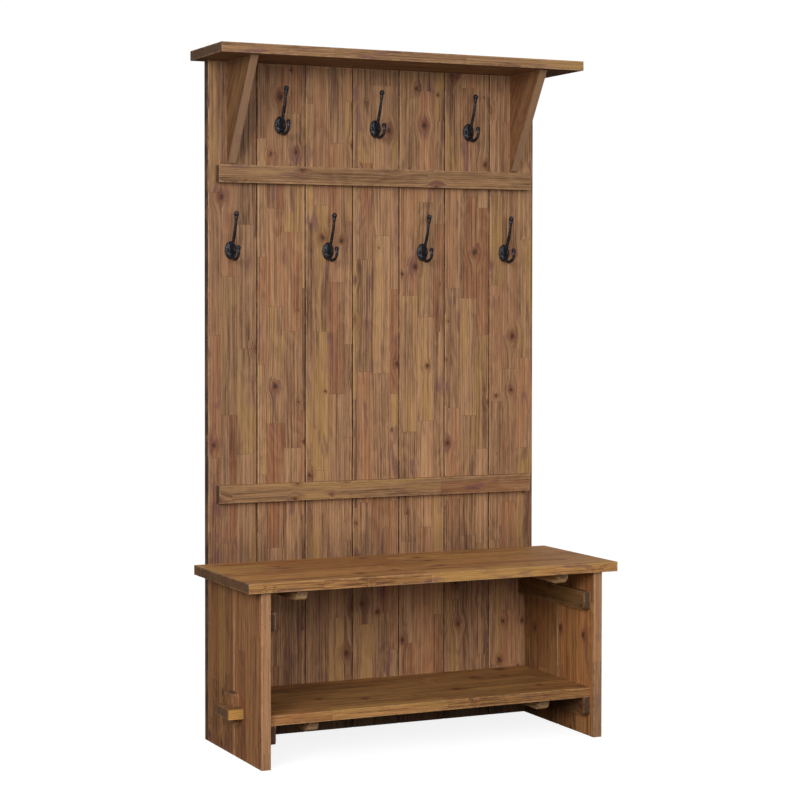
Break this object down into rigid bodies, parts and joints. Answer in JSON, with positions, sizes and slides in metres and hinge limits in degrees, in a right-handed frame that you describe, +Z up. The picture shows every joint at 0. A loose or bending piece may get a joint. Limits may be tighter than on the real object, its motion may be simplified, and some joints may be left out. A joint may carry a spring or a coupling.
{
  "type": "hall tree",
  "caption": "Free-standing wooden hall tree: bench seat over a wedged lower shelf, tall boarded back with rails and double coat hooks, bracketed top shelf.",
  "frame": {"origin": "on the floor, under the middle of the whole piece, half way between its back and the seat's front edge", "axes": "+X to the right as seen from the front, +Y back towards the wall, +Z up"},
  "size_m": [1.056, 0.431, 1.829],
  "materials": {
    "back_wood": "brushed rustic boards, matt oil, dark grain and knots",
    "side_wood": "brushed rustic boards, satin, warm brown",
    "board_wood": "jointed staves, satin, warm brown with yellow and plum streaks",
    "trim_wood": "satin, light warm brown",
    "wedge_wood": "satin, mid brown",
    "hook_iron": "dark bronze-black, satin, rubbed on the high spots",
    "screw_steel": "dark plated"
  },
  "bodies": {
    "body": {"back_plank_1": "back_wood", "back_plank_2": "back_wood", "back_plank_3": "back_wood", "back_plank_4": "back_wood", "back_plank_5": "back_wood", "back_plank_6": "back_wood", "back_plank_7": "back_wood", "left_lower_cleat": "trim_wood", "left_lower_cleat_back_screw": "screw_steel", "left_lower_cleat_front_screw": "screw_steel", "left_seat_batten": "trim_wood", "left_shelf_batten": "trim_wood", "left_shelf_bracket": "trim_wood", "left_side_back_plank": "side_wood", "left_side_front_plank": "side_wood", "left_upper_cleat": "trim_wood", "left_upper_cleat_back_screw": "screw_steel", "left_upper_cleat_front_screw": "screw_steel", "lower_coat_hook_1": "hook_iron", "lower_coat_hook_1_left_screw": "screw_steel", "lower_coat_hook_1_right_screw": "screw_steel", "lower_coat_hook_2": "hook_iron", "lower_coat_hook_2_left_screw": "screw_steel", "lower_coat_hook_2_right_screw": "screw_steel", "lower_coat_hook_3": "hook_iron", "lower_coat_hook_3_left_screw": "screw_steel", "lower_coat_hook_3_right_screw": "screw_steel", "lower_coat_hook_4": "hook_iron", "lower_coat_hook_4_left_screw": "screw_steel", "lower_coat_hook_4_right_screw": "screw_steel", "lower_rail": "trim_wood", "lower_shelf": "board_wood", "right_lower_cleat": "trim_wood", "right_lower_cleat_back_screw": "screw_steel", "right_lower_cleat_front_screw": "screw_steel", "right_seat_batten": "trim_wood", "right_shelf_batten": "trim_wood", "right_shelf_bracket": "trim_wood", "right_side_back_plank": "side_wood", "right_side_front_plank": "side_wood", "right_upper_cleat": "trim_wood", "right_upper_cleat_back_screw": "screw_steel", "right_upper_cleat_front_screw": "screw_steel", "seat": "board_wood", "top_shelf": "board_wood", "upper_coat_hook_1": "hook_iron", "upper_coat_hook_1_left_screw": "screw_steel", "upper_coat_hook_1_right_screw": "screw_steel", "upper_coat_hook_2": "hook_iron", "upper_coat_hook_2_left_screw": "screw_steel", "upper_coat_hook_2_right_screw": "screw_steel", "upper_coat_hook_3": "hook_iron", "upper_coat_hook_3_left_screw": "screw_steel", "upper_coat_hook_3_right_screw": "screw_steel", "upper_rail": "trim_wood"},
    "left_wedge": {"left_tusk_wedge": "wedge_wood"},
    "right_wedge": {"right_tusk_wedge": "wedge_wood"}
  },
  "joints": [
    {"name": "left_wedge_lift", "type": "slide", "parent": "body", "child": "left_wedge", "axis": [0, 0, 1], "range_m": [0, 0.055]},
    {"name": "right_wedge_lift", "type": "slide", "parent": "body", "child": "right_wedge", "axis": [0, 0, 1], "range_m": [0, 0.055]}
  ]
}
